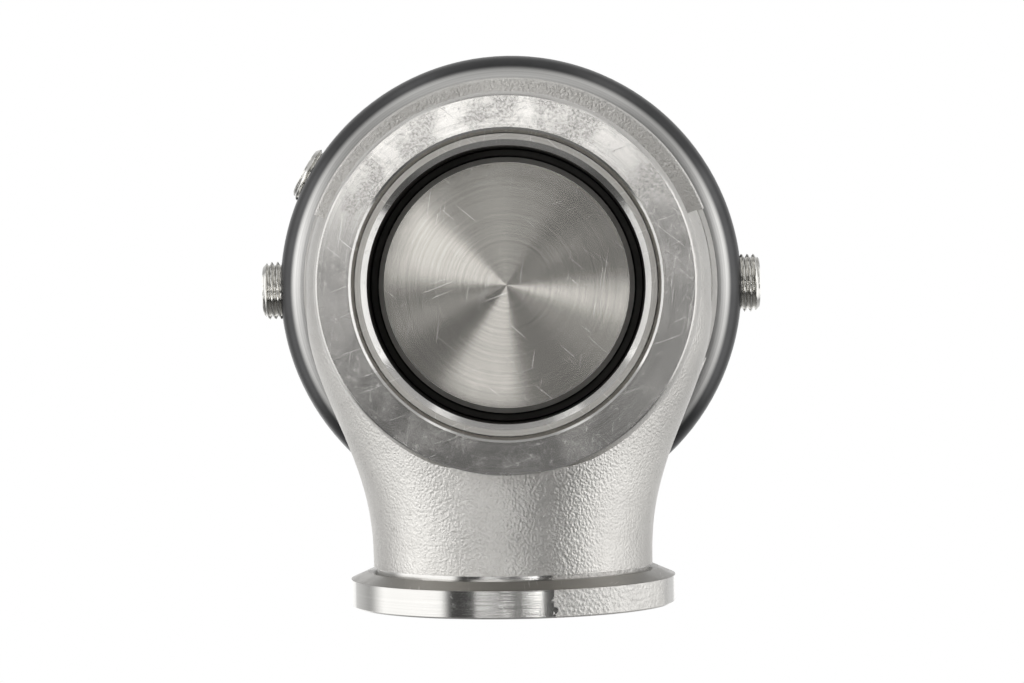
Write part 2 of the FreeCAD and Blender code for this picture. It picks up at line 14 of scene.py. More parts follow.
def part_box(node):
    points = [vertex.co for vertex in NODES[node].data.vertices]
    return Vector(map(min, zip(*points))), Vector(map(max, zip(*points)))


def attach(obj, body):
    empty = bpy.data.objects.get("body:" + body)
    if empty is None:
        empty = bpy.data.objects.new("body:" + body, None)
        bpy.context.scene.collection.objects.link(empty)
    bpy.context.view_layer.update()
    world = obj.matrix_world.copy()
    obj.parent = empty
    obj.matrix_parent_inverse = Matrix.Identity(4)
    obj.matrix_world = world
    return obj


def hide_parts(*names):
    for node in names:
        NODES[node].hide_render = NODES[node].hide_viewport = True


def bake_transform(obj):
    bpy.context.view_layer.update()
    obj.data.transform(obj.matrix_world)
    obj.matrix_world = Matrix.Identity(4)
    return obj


MM = 0.001

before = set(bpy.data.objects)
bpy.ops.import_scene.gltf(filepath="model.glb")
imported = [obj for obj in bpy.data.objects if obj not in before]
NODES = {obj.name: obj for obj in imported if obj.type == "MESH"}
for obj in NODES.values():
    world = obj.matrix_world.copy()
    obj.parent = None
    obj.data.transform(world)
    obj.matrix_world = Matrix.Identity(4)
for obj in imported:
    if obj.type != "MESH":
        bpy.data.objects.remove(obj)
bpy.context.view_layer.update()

# ---- where one finish meets the next ----
TOUCH = 0.05 * MM  # slack when a face is told by its place
HAIR = 0.01 * MM  # less slack, where another face lies close by
INLET_MOUTH_R = 23.69 * MM
INLET_CHAMFER_TOP = 0.8 * MM
COUNTERBORE_R = 22.9 * MM
LEDGE_TOP = 13.0 * MM
PORT_R = 21.0 * MM
SEAT_CHAMFER_R = 22.0 * MM
SEAT_CHAMFER_TOP = 1.5 * MM
VALVE_FACE_Z = 8.5 * MM
PILOT_CHAMFER_TOP = 9.3 * MM
HEAD_TOP = 14.0 * MM
HEAD_SIDE_R = 17.0 * MM  # what lies further out is the side of the valve's head
CHAMBER_R = 27.2 * MM
CHAMBER_TOP = 50.0 * MM
CHAMBER_FRONT_Y = -26.0 * MM
FOOT_R = 36.7 * MM  # bare machined foot of the actuator, inside its dark coat
COAT_R = 37.6 * MM
OUTLET_AXIS_Z = 33.0 * MM
OUTLET_FLANGE_BACK_Y = -44.7 * MM
OUTLET_BORE_R = 19.6 * MM
HORN_START_Y = -20.0 * MM
HORN_WALL_REACH = 3.2 * MM  # from the outlet's bore to beyond its wall
RIM_CAST_SIDE = -6.5 * MM
RIM_EDGE_BLUR = 0.25 * MM
RIM_EDGE_STRAY = 7.0 * MM
RIM_CAST_HIGH = 26.0 * MM  # the cast side of the rim fades out between these heights
RIM_CAST_LOW = 20.0 * MM
TOP_FLANGE_TOP = 57.0 * MM

# ---- port plugs ----
THREAD_R = 5.0 * MM
THREAD_ROOT_R = 4.36 * MM
THREAD_PITCH = 1.0 * MM
THREAD_ROOT_SHARE = 0.12  # of half a pitch, flat at the root
THREAD_FLANK_SHARE = 0.70  # of half a pitch, from the root up to the crest
PLUG_CHAMFER = 0.75 * MM
SOCKET_AF = 5.0 * MM
SOCKET_DEPTH = 3.0 * MM
SOCKET_LEAD_IN = 0.12 * MM
SOCKET_DRILL_POINT = 0.4 * MM
PORT_BOSS_R = 39.5 * MM
SPOTFACE_DEPTH = 0.9 * MM
SPOTFACE_GAP = 0.02 * MM
SIDE_PLUG_STANDOUT = 3.3 * MM
BOOST_PLUG_STANDOUT = 1.3 * MM
PLUG_STEPS_ROUND = 96
PLUG_STEPS_PER_TURN = 14

# ---- studio ----
LAMP_TARGET = (0, 0, 0.03)
FLOOR_R = 3.0
FLOOR_DROP = 0.2 * MM

# ---- colours of marks on metal ----
SCRATCH_COLOUR = (0.86, 0.85, 0.83, 1)
SCUFF_COLOUR = (0.36, 0.35, 0.335, 1)
PIT_COLOUR = (0.30, 0.285, 0.265, 1)


# ---------------------------------------------------------------- shader building

def feed(tree, socket, value):
    """Link a socket to another node's output, or set its constant value."""
    if isinstance(value, bpy.types.NodeSocket):
        tree.links.new(value, socket)
    else:
        socket.default_value = value


def add(tree, kind, inputs=None, **settings):
    """A shader node with its settings, and its inputs linked or given a value."""
    node = tree.nodes.new(kind)
    for name, value in settings.items():
        setattr(node, name, value)
    for name, value in (inputs or {}).items():
        feed(tree, node.inputs[name], value)
    return node


def maths(tree, operation, a, b=0.0):
    return add(tree, "ShaderNodeMath", {0: a, 1: b}, operation=operation).outputs[0]


def vector_maths(tree, operation, a, b=(0, 0, 0)):
    node = add(tree, "ShaderNodeVectorMath", {0: a, 1: b}, operation=operation)
    return node.outputs[1] if operation in ("LENGTH", "DOT_PRODUCT") else node.outputs[0]


def remap(tree, value, low, high, to_low=0.0, to_high=1.0, smooth=True):
    """value taken from low..high to to_low..to_high, and held at the ends."""
    node = add(tree, "ShaderNodeMapRange",
               {"Value": value, "From Min": low, "From Max": high, "To Min": to_low, "To Max": to_high},
               interpolation_type="SMOOTHSTEP" if smooth else "LINEAR")
    return node.outputs[0]


def blend_colours(tree, factor, a, b):
    """Colour a where factor is 0, and b where it is 1."""
    node = add(tree, "ShaderNodeMix", {0: factor, 6: a, 7: b}, data_type="RGBA", clamp_factor=True)
    return node.outputs[2]


def new_group(name, inputs, outputs):
    """A shader node group. Inputs are (name, kind, value) and outputs (name, kind)."""
    group = bpy.data.node_groups.new(name, "ShaderNodeTree")
    for label, kind, value in inputs:
        socket = group.interface.new_socket(label, in_out="INPUT", socket_type="NodeSocket" + kind)
        if value is not None:
            socket.default_value = value
    for label, kind in outputs:
        group.interface.new_socket(label, in_out="OUTPUT", socket_type="NodeSocket" + kind)
    return group, add(group, "NodeGroupInput"), add(group, "NodeGroupOutput")


def place_group(tree, group, inputs):
    return add(tree, "ShaderNodeGroup", inputs, node_tree=group)


def make_cast_skin():
    """Blasted casting: fine pebbles, shallow dimples and slow changes of tone."""
    group, given, result = new_group(
        "cast_skin",
        [("Vector", "Vector", None), ("Grain", "Float", 1100.0), ("Pebbles", "Float", 0.6)],
        [("Height", "Float"), ("Tone", "Float"), ("Pits", "Float")])
    where, grain = given.outputs["Vector"], given.outputs["Grain"]
    fine = add(group, "ShaderNodeTexNoise",
               {"Vector": where, "Scale": grain, "Detail": 4.0, "Roughness": 0.62})
    coarse_scale = maths(group, "MULTIPLY", grain, 0.7)
    cells = add(group, "ShaderNodeTexVoronoi",
                {"Vector": where, "Scale": coarse_scale, "Randomness": 1.0, "Smoothness": 0.8},
                feature="SMOOTH_F1")
    pebble = maths(group, "MULTIPLY", maths(group, "SUBTRACT", 1.0, cells.outputs["Distance"]),
                   given.outputs["Pebbles"])
    height = maths(group, "ADD", fine.outputs["Fac"], pebble)
    slow = add(group, "ShaderNodeTexNoise",
               {"Vector": where, "Scale": 55.0, "Detail": 3.0, "Roughness": 0.6})
    pits = add(group, "ShaderNodeTexNoise",
               {"Vector": where, "Scale": maths(group, "MULTIPLY", grain, 0.3), "Detail": 2.0})
    group.links.new(height, result.inputs["Height"])
    group.links.new(remap(group, slow.outputs["Fac"], 0.3, 0.7), result.inputs["Tone"])
    group.links.new(remap(group, pits.outputs["Fac"], 0.66, 0.76), result.inputs["Pits"])
    return group


def make_turning():
    """Fine lines left by a lathe round an axis: they change with the radius and along the axis."""
    group, given, result = new_group(
        "turning",
        [("Vector", "Vector", None), ("Centre", "Vector", (0, 0, 0)), ("Across", "Vector", (1, 1, 0)),
         ("Along", "Vector", (0, 0, 1)), ("Lines", "Float", 6000.0)],
        [("Lines", "Float"), ("Bands", "Float")])
    offset = vector_maths(group, "SUBTRACT", given.outputs["Vector"], given.outputs["Centre"])
    flat = vector_maths(group, "MULTIPLY", offset, given.outputs["Across"])
    radius = vector_maths(group, "LENGTH", flat)
    along = vector_maths(group, "DOT_PRODUCT", offset, given.outputs["Along"])
    travel = maths(group, "ADD", radius, along)
    lines = add(group, "ShaderNodeTexNoise",
                {"W": maths(group, "MULTIPLY", travel, given.outputs["Lines"]), "Scale": 1.0,
                 "Detail": 2.0, "Roughness": 0.7}, noise_dimensions="1D")
    bands = add(group, "ShaderNodeTexNoise",
                {"W": maths(group, "MULTIPLY", travel, 2200.0), "Scale": 1.0, "Detail": 2.0},
                noise_dimensions="1D")
    group.links.new(lines.outputs["Fac"], result.inputs["Lines"])
    group.links.new(bands.outputs["Fac"], result.inputs["Bands"])
    return group


def make_scratches():
    """Thin straight scratches in three directions, sparse and of uneven strength."""
    group, given, result = new_group(
        "scratches",
        [("Vector", "Vector", None), ("Width", "Float", 4200.0), ("Length", "Float", 130.0),
         ("Amount", "Float", 0.5)],
        [("Mask", "Float")])
    limit = remap(group, given.outputs["Amount"], 0.0, 1.0, 0.76, 0.58, smooth=False)
    full = maths(group, "ADD", limit, 0.04)
    total = None
    for turn in (0.35, 1.45, 2.5):
        turned = add(group, "ShaderNodeVectorRotate",
                     {"Vector": given.outputs["Vector"], "Axis": (0.12, 0.2, 1.0), "Angle": turn},
                     rotation_type="AXIS_ANGLE")
        stretch = add(group, "ShaderNodeCombineXYZ",
                      {"X": given.outputs["Length"], "Y": given.outputs["Width"],
                       "Z": given.outputs["Length"]})
        scaled = vector_maths(group, "MULTIPLY", turned.outputs["Vector"], stretch.outputs["Vector"])
        noise = add(group, "ShaderNodeTexNoise",
                    {"Vector": vector_maths(group, "ADD", scaled, (turn * 9, 3.1, turn * 5)),
                     "Scale": 1.0, "Detail": 1.0, "Roughness": 0.4})
        line = remap(group, noise.outputs["Fac"], limit, full, smooth=False)
        total = line if total is None else maths(group, "MAXIMUM", total, line)
    group.links.new(total, result.inputs["Mask"])
    return group


def make_handling():
    """Slow cloudy changes of a metal surface: stains, finger marks and dulled patches."""
    group, given, result = new_group(
        "handling",
        [("Vector", "Vector", None), ("Scale", "Float", 90.0)],
        [("Clouds", "Float"), ("Spots", "Float")])
    clouds = add(group, "ShaderNodeTexNoise",
                 {"Vector": given.outputs["Vector"], "Scale": given.outputs["Scale"], "Detail": 5.0,
                  "Roughness": 0.62, "Distortion": 0.4})
    spots = add(group, "ShaderNodeTexNoise",
                {"Vector": given.outputs["Vector"],
                 "Scale": maths(group, "MULTIPLY", given.outputs["Scale"], 9.0), "Detail": 3.0,
                 "Roughness": 0.7})
    group.links.new(remap(group, clouds.outputs["Fac"], 0.2, 0.8), result.inputs["Clouds"])
    group.links.new(remap(group, spots.outputs["Fac"], 0.55, 0.72), result.inputs["Spots"])
    return group


CAST_SKIN = make_cast_skin()
TURNING = make_turning()
SCRATCHES = make_scratches()
HANDLING = make_handling()


def new_material(name, metallic=1.0, **fixed):
    """A material with its Principled BSDF, whose constant values are set on its own sockets."""
    material = bpy.data.materials.new(name)
    material.use_nodes = True
    tree = material.node_tree
    shader = tree.nodes["Principled BSDF"]
    for label, value in {"metallic": metallic, **fixed}.items():
        shader.inputs[label.replace("_", " ").title()].default_value = value
    where = add(tree, "ShaderNodeTexCoord").outputs["Object"]
    return material, tree, shader, where


def connect(tree, shader, colour, roughness, height, strength, distance, normal=None):
    """Feed the shader its colour, roughness and bump, which may lie on top of another normal."""
    tree.links.new(colour, shader.inputs["Base Color"])
    tree.links.new(roughness, shader.inputs["Roughness"])
    bump = add(tree, "ShaderNodeBump", {"Height": height, "Strength": strength, "Distance": distance})
    if normal is not None:
        tree.links.new(normal, bump.inputs["Normal"])
    tree.links.new(bump.outputs["Normal"], shader.inputs["Normal"])


def clouded_roughness(tree, handling, low, high):
    """Roughness that wanders between two values with the handling marks."""
    return remap(tree, handling.outputs["Clouds"], 0, 1, low, high)


OUTLET_AXIS = {"Centre": (0, 0, OUTLET_AXIS_Z), "Across": (1, 0, 1), "Along": (0, 1, 0)}


# ---------------------------------------------------------------- finishes

def cast_finish(name, light, dark, roughness, strength):
    """Blasted casting with darker pits."""
    material, tree, shader, where = new_material(name)
    skin = place_group(tree, CAST_SKIN, {"Vector": where, "Grain": 3300.0, "Pebbles": 1.0})
    handling = place_group(tree, HANDLING, {"Vector": where, "Scale": 60.0})
    tone = blend_colours(tree, skin.outputs["Tone"], dark, light)
    pitted = blend_colours(tree, maths(tree, "MULTIPLY", skin.outputs["Pits"], 0.35), tone, PIT_COLOUR)
    rough = clouded_roughness(tree, handling, roughness - 0.05, roughness + 0.06)
    connect(tree, shader, pitted, rough, skin.outputs["Height"], strength, 0.30 * MM)
    return material


def turned_finish(name, light, dark, roughness, lines=6000.0, strength=0.12, scratches=0.45,
                  outlet=False, anisotropic=0.0, stains=0.3, spots=0.08, scuffs=0.0, wear=0.22,
                  crown=0.0):
    """Machined metal with lathe lines, handling marks and scratches.

    wear is how far the roughness strays from its mean, and scuffs darkens and roughens fine patches.
    crown is the slope of a face that falls off from its middle, left by a tool a little out of square.
    """
    fixed = {"anisotropic": anisotropic, "anisotropic_rotation": 0.25} if anisotropic else {}
    material, tree, shader, where = new_material(name, **fixed)
    axis = OUTLET_AXIS if outlet else {}
    turning = place_group(tree, TURNING, {"Vector": where, "Lines": lines, **axis})
    marks = place_group(tree, SCRATCHES, {"Vector": where, "Amount": scratches})
    handling = place_group(tree, HANDLING, {"Vector": where, "Scale": 110.0})
    stain = maths(tree, "MULTIPLY", handling.outputs["Clouds"], stains)
    tone = blend_colours(tree, turning.outputs["Bands"], dark, light)
    tone = blend_colours(tree, stain, tone, dark)
    tone = blend_colours(tree, maths(tree, "MULTIPLY", marks.outputs["Mask"], 0.35), tone, SCRATCH_COLOUR)
    rough = clouded_roughness(tree, handling, roughness * (1 - wear), roughness * (1 + wear))
    rough = maths(tree, "ADD", rough, maths(tree, "MULTIPLY", handling.outputs["Spots"], spots))
    height = maths(tree, "SUBTRACT", turning.outputs["Lines"],
                   maths(tree, "MULTIPLY", marks.outputs["Mask"], 1.2))
    if scuffs:
        skin = place_group(tree, CAST_SKIN, {"Vector": where, "Grain": 2600.0, "Pebbles": 0.2})
        patch = maths(tree, "MULTIPLY", remap(tree, skin.outputs["Height"], 0.45, 0.95),
                      remap(tree, handling.outputs["Clouds"], 0.40, 0.75))
        tone = blend_colours(tree, maths(tree, "MULTIPLY", patch, scuffs), tone, SCUFF_COLOUR)
        rough = maths(tree, "ADD", rough, maths(tree, "MULTIPLY", patch, 0.12))
        height = maths(tree, "ADD", height, maths(tree, "MULTIPLY", patch, scuffs))
    slope = None
    if crown:
        radius = vector_maths(tree, "LENGTH", vector_maths(tree, "MULTIPLY", where, (1, 1, 0)))
        fall = maths(tree, "MULTIPLY", radius, -crown / MM)
        slope = add(tree, "ShaderNodeBump",
                    {"Height": fall, "Strength": 1.0, "Distance": 1.0 * MM}).outputs["Normal"]
    connect(tree, shader, tone, rough, height, strength, 0.03 * MM, slope)
    if anisotropic:
        tangent = add(tree, "ShaderNodeTangent", direction_type="RADIAL", axis="Y" if outlet else "Z")
        tree.links.new(tangent.outputs["Tangent"], shader.inputs["Tangent"])
    return material


def satin_finish(name, light, dark, roughness, metallic=1.0):
    """Even satin metal or coating with faint cloudiness and fine grain."""
    material, tree, shader, where = new_material(name, metallic=metallic)
    handling = place_group(tree, HANDLING, {"Vector": where, "Scale": 140.0})
    skin = place_group(tree, CAST_SKIN, {"Vector": where, "Grain": 3200.0, "Pebbles": 0.3})
    tone = blend_colours(tree, handling.outputs["Clouds"], dark, light)
    rough = clouded_roughness(tree, handling, roughness - 0.04, roughness + 0.05)
    connect(tree, shader, tone, rough, skin.outputs["Height"], 0.18, 0.02 * MM)
    return material


def coated_finish(name):
    """Dark satin coat on the actuator that stops at its bare, turned foot."""
    material, tree, shader, where = new_material(name)
    flat = vector_maths(tree, "MULTIPLY", where, (1, 1, 0))
    coat = remap(tree, vector_maths(tree, "LENGTH", flat), FOOT_R, COAT_R)
    turning = place_group(tree, TURNING, {"Vector": where, "Lines": 5000.0})
    handling = place_group(tree, HANDLING, {"Vector": where, "Scale": 120.0})
    bare = blend_colours(tree, turning.outputs["Bands"], (0.40, 0.395, 0.385, 1), (0.60, 0.595, 0.58, 1))
    dark = blend_colours(tree, handling.outputs["Clouds"], (0.065, 0.065, 0.066, 1), (0.09, 0.09, 0.091, 1))
    tone = blend_colours(tree, coat, bare, dark)
    rough = maths(tree, "ADD", remap(tree, coat, 0, 1, 0.34, 0.28),
                  maths(tree, "MULTIPLY", handling.outputs["Clouds"], 0.05))
    connect(tree, shader, tone, rough, turning.outputs["Lines"], 0.08, 0.03 * MM)
    return material


def rim_finish(name):
    """Outlet rim: turned bright where the tool reached it, and left as cast on the other side."""
    material, tree, shader, where = new_material(name)
    turning = place_group(tree, TURNING, {"Vector": where, "Lines": 7000.0, **OUTLET_AXIS})
    skin = place_group(tree, CAST_SKIN, {"Vector": where, "Grain": 2600.0, "Pebbles": 1.0})
    handling = place_group(tree, HANDLING, {"Vector": where, "Scale": 110.0})
    split = add(tree, "ShaderNodeSeparateXYZ", {"Vector": where})
    ragged = add(tree, "ShaderNodeTexNoise",
                 {"Vector": where, "Scale": 420.0, "Detail": 4.0, "Roughness": 0.7})
    stray = maths(tree, "MULTIPLY", maths(tree, "SUBTRACT", ragged.outputs["Fac"], 0.5), RIM_EDGE_STRAY)
    edge = maths(tree, "ADD", split.outputs["X"], stray)
    cast = remap(tree, edge, RIM_CAST_SIDE + RIM_EDGE_BLUR, RIM_CAST_SIDE - RIM_EDGE_BLUR)
    near_side = remap(tree, split.outputs["Z"], RIM_CAST_HIGH, RIM_CAST_LOW)
    cast = maths(tree, "MULTIPLY", cast, near_side)
    bright = blend_colours(tree, turning.outputs["Bands"], (0.66, 0.65, 0.625, 1), (0.80, 0.79, 0.765, 1))
    rough_tone = blend_colours(tree, skin.outputs["Tone"], (0.70, 0.685, 0.66, 1), (0.82, 0.805, 0.775, 1))
    tone = blend_colours(tree, cast, bright, rough_tone)
    rough = maths(tree, "ADD", remap(tree, cast, 0, 1, 0.13, 0.50),
                  maths(tree, "MULTIPLY", handling.outputs["Spots"], 0.08))
    lathe = maths(tree, "MULTIPLY", turning.outputs["Lines"], 0.05)
    cast_height = maths(tree, "MULTIPLY", skin.outputs["Height"], cast)
    connect(tree, shader, tone, rough, maths(tree, "ADD", lathe, cast_height), 0.6, 0.22 * MM)
    return material


def rubber_finish(name, light, dark):
    """Matt rubber or gasket sheet with faint spots."""
    material, tree, shader, where = new_material(name, metallic=0.0)
    handling = place_group(tree, HANDLING, {"Vector": where, "Scale": 220.0})
    tone = blend_colours(tree, handling.outputs["Clouds"], dark, light)
    rough = clouded_roughness(tree, handling, 0.55, 0.75)
    connect(tree, shader, tone, rough, handling.outputs["Spots"], 0.2, 0.04 * MM)
    return material


CAST_STEEL = cast_finish("blasted_cast_steel", (0.72, 0.705, 0.675, 1), (0.61, 0.595, 0.57, 1), 0.38, 0.33)
INNER_CAST = cast_finish("cast_steel_inside", (0.42, 0.40, 0.37, 1), (0.30, 0.285, 0.265, 1), 0.55, 0.6)
FLANGE_FACE = turned_finish("scuffed_flange_face", (0.74, 0.725, 0.70, 1), (0.56, 0.545, 0.52, 1), 0.13,
                            lines=5200.0, strength=0.05, scratches=0.3, stains=0.45, scuffs=0.8)
BRIGHT_CHAMFER = turned_finish("polished_chamfer", (0.70, 0.69, 0.67, 1), (0.60, 0.59, 0.57, 1), 0.14,
                               lines=9000.0, strength=0.06, scratches=0.3, stains=0.15)
TURNED_STEEL = turned_finish("turned_body_steel", (0.70, 0.685, 0.66, 1), (0.55, 0.54, 0.52, 1), 0.26)
OUTLET_RIM = rim_finish("turned_and_cast_outlet_rim")
# Darker turned steel for the outlet rim's back slope, which faces towards +Y: painted shade.
PAINTED_SHADE_RIM_SLOPE = turned_finish("painted_shade_rim_slope", (0.44, 0.425, 0.40, 1), (0.32, 0.31, 0.29, 1), 0.32,
                          lines=8000.0, strength=0.1, scratches=0.2, outlet=True)
OUTLET_FACE = turned_finish("turned_outlet_face", (0.72, 0.705, 0.68, 1), (0.58, 0.565, 0.54, 1), 0.36,
                            lines=5200.0, strength=0.1, scratches=0.3, outlet=True)
SEAT_STEEL = turned_finish("seat_ring_steel", (0.56, 0.545, 0.51, 1), (0.42, 0.405, 0.38, 1), 0.38,
                           lines=8000.0, strength=0.1, scratches=0.35)
VALVE_STEEL = turned_finish("turned_valve_steel", (0.57, 0.55, 0.51, 1), (0.42, 0.405, 0.375, 1), 0.25,
                            lines=3600.0, strength=0.10, scratches=0.15, anisotropic=0.97, stains=0.4,
                            spots=0.0, wear=0.08, crown=0.087)
VALVE_EDGE = satin_finish("sooty_valve_edge", (0.66, 0.64, 0.605, 1), (0.50, 0.485, 0.455, 1), 0.5,
                          metallic=0.3)
# Near-black steel as painted shade: it stands for the deep shadow in the gap between the seat ring's bore
# and the side of the valve's head.
PAINTED_SHADE_STEEL = satin_finish("painted_shade_gap_steel", (0.05, 0.048, 0.045, 1), (0.03, 0.029, 0.027, 1), 0.35)
BRONZE = turned_finish("guide_bronze", (0.66, 0.48, 0.26, 1), (0.50, 0.36, 0.20, 1), 0.3)
PLUG_NICKEL = satin_finish("nickel_plated_plug", (0.80, 0.79, 0.76, 1), (0.66, 0.65, 0.62, 1), 0.16)
ACTUATOR_METAL = coated_finish("dark_coat_over_bare_foot")
CAP_METAL = satin_finish("dark_satin_cap", (0.19, 0.19, 0.195, 1), (0.14, 0.14, 0.145, 1), 0.34)
DARK_STEEL = satin_finish("black_oxide_steel", (0.17, 0.17, 0.17, 1), (0.10, 0.10, 0.10, 1), 0.36)
SPRING_STEEL = satin_finish("peened_spring_steel", (0.42, 0.42, 0.43, 1), (0.30, 0.30, 0.31, 1), 0.34)
PLATE_ALLOY = turned_finish("turned_plate_alloy", (0.78, 0.78, 0.79, 1), (0.66, 0.66, 0.67, 1), 0.25)
GASKET_SHEET = rubber_finish("graphite_gasket", (0.16, 0.16, 0.16, 1), (0.08, 0.08, 0.08, 1))
SEAL_RUBBER = rubber_finish("seal_rubber", (0.04, 0.04, 0.04, 1), (0.02, 0.02, 0.02, 1))
DIAPHRAGM_RUBBER = rubber_finish("diaphragm_silicone", (0.50, 0.17, 0.10, 1), (0.38, 0.12, 0.07, 1))


# ---------------------------------------------------------------- painting the carried-over pieces

def paint(node, *materials, zone=None):
    """Give a CAD piece its finish. zone(centre, normal) picks one of several for each face."""
    mesh = NODES[node].data
    mesh.materials.clear()
    for material in materials:
        mesh.materials.append(material)
    if zone:
        for face in mesh.polygons:
            face.material_index = zone(face.center, face.normal)
    mesh.shade_smooth()
    mesh.set_sharp_from_angle(angle=math.radians(24))


def body_zone(centre, normal):
    """Casting outside and inside, its turned seats, and the outlet flange's rim, slope and face. The
    slope's darker finish is painted shade for the faces turned towards +Y.
    """
    cast, inside, turned, rim, slope, face = range(6)
    radius = math.hypot(centre.x, centre.y)
    from_outlet = math.hypot(centre.x, centre.z - OUTLET_AXIS_Z)
    if centre.y < OUTLET_FLANGE_BACK_Y:
        if from_outlet < OUTLET_BORE_R + TOUCH and abs(normal.y) < 0.5:
            return inside
        if normal.y < -0.9:
            return face
        # Faces turned towards +Y get the darker slope finish, which is painted shade.
        return slope if normal.y > 0.2 else rim
    if centre.z < LEDGE_TOP + TOUCH and radius < COUNTERBORE_R + HAIR:
        return turned
    if centre.z > TOP_FLANGE_TOP - TOUCH and normal.z > 0.9:
        return turned
    out = Vector((centre.x, centre.y, 0)).normalized()
    in_chamber = radius < CHAMBER_R and centre.z < CHAMBER_TOP and centre.y > CHAMBER_FRONT_Y
    if in_chamber and normal.dot(out) < 0.2:
        return inside
    if from_outlet < OUTLET_BORE_R + HORN_WALL_REACH and centre.y < HORN_START_Y:
        away = Vector((centre.x, 0, centre.z - OUTLET_AXIS_Z)).normalized()
        if normal.dot(away) < 0:
            return inside
    return cast


def inlet_zone(centre, _normal):
    face, chamfer, turned = range(3)
    if centre.z < HAIR:
        return face
    if math.hypot(centre.x, centre.y) < INLET_MOUTH_R and centre.z < INLET_CHAMFER_TOP:
        return chamfer
    return turned


def seat_zone(centre, normal):
    turned, chamfer, dark = range(3)
    radius = math.hypot(centre.x, centre.y)
    # The bore wall gets the near-black steel, painted shade for the dark gap round the valve's head.
    if radius < PORT_R + TOUCH and abs(normal.z) < 0.5:
        return dark
    if abs(normal.z) < 0.9 and centre.z < SEAT_CHAMFER_TOP and radius < SEAT_CHAMFER_R:
        return chamfer
    return turned


def valve_zone(centre, _normal):
    turned, edge, dark = range(3)
    radius = math.hypot(centre.x, centre.y)
    # The side of the head gets the near-black steel, painted shade for the dark gap inside the seat ring.
    if PILOT_CHAMFER_TOP < centre.z < HEAD_TOP and radius > HEAD_SIDE_R:
        return dark
    if VALVE_FACE_Z + HAIR < centre.z < PILOT_CHAMFER_TOP:
        return edge
    return turned


def paint_pieces():
    """Finishes of all CAD pieces but the port plugs, which get meshes of their own."""
    paint("valve_housing", CAST_STEEL, INNER_CAST, TURNED_STEEL, OUTLET_RIM, PAINTED_SHADE_RIM_SLOPE, OUTLET_FACE,
          zone=body_zone)
    paint("inlet_flange", FLANGE_FACE, BRIGHT_CHAMFER, TURNED_STEEL, zone=inlet_zone)
    # The seat ring's bore and the side of the valve's head get painted shade from the near-black steel.
    paint("seat_ring", SEAT_STEEL, BRIGHT_CHAMFER, PAINTED_SHADE_STEEL, zone=seat_zone)
    paint("poppet_valve", VALVE_STEEL, VALVE_EDGE, PAINTED_SHADE_STEEL, zone=valve_zone)
    finishes = {
        "valve_guide": BRONZE,
        "base_gasket": GASKET_SHEET,
        "locating_dowel": DARK_STEEL,
        "base_screws": DARK_STEEL,
        "screw_washers": DARK_STEEL,
        "actuator_base": ACTUATOR_METAL,
        "stem_seal": SEAL_RUBBER,
        "seal_retainer": DARK_STEEL,
        "jacket_cover": PLATE_ALLOY,
        "jacket_face_seal": SEAL_RUBBER,
        "jacket_bore_seal": SEAL_RUBBER,
        "lower_plate": PLATE_ALLOY,
        "diaphragm": DIAPHRAGM_RUBBER,
        "spring_cup": PLATE_ALLOY,
        "stem_washer": DARK_STEEL,
        "stem_nut": DARK_STEEL,
        "outer_spring": SPRING_STEEL,
        "middle_spring": SPRING_STEEL,
        "inner_spring": SPRING_STEEL,
        "top_cap": CAP_METAL,
        "retaining_ring": DARK_STEEL,
    }
    for node, material in finishes.items():
        paint(node, material)


# ---------------------------------------------------------------- threaded port plugs

def thread_radius(turn, along, length):
    """Radius of the thread's flank at an angle in turns and a distance from the plug's inner end."""
    phase = (along / THREAD_PITCH - turn) % 1.0
    tooth = 1.0 - abs(phase * 2.0 - 1.0)
    tooth = min(max((tooth - THREAD_ROOT_SHARE) / THREAD_FLANK_SHARE, 0.0), 1.0)
    radius = THREAD_ROOT_R + (THREAD_R - THREAD_ROOT_R) * tooth
    taper = THREAD_R - max(0.0, along - (length - PLUG_CHAMFER))
    return min(radius, taper)


def hexagon_radius(turn, across_flats):
    """Distance from the middle to a hexagon's side at an angle in turns."""
    sixth = 1.0 / 6.0
    offset = (turn % sixth) - sixth / 2
    return across_flats / 2 / math.cos(offset * 2 * math.pi)


